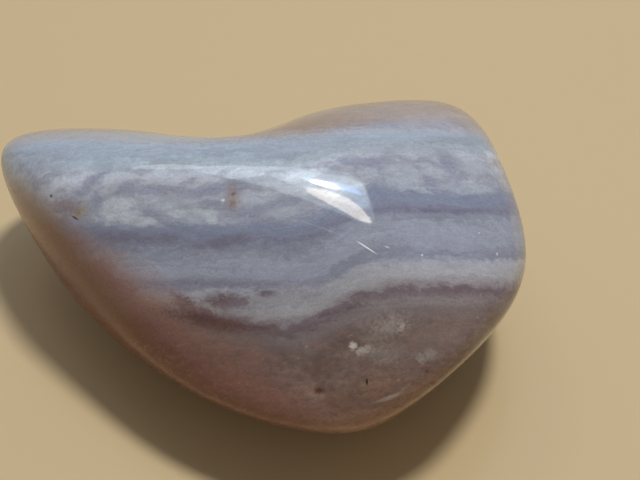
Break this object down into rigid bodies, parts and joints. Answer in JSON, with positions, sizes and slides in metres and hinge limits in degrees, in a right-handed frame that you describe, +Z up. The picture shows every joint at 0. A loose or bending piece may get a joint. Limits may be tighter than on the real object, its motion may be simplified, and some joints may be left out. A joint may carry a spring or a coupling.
{
  "type": "tumbled chalcedony pebble",
  "caption": "Tumbled, polished pebble of banded blue chalcedony: blunt nose, broad sloping face, hollow in the back and a small flat to rest on.",
  "frame": {"origin": "on the surface that the stone rests on, under the middle of its length and depth", "axes": "+X along the stone from its blunt nose to its steep end, +Y towards the hollow back, +Z up, away from the flat that it rests on"},
  "size_m": [0.037, 0.0282, 0.0161],
  "materials": {
    "banded_chalcedony": "tumbled to a high polish, waxy and slightly translucent, grey-blue to lavender bands over a mauve-brown base"
  },
  "bodies": {
    "root": {"chalcedony_pebble": "banded_chalcedony"}
  },
  "joints": []
}
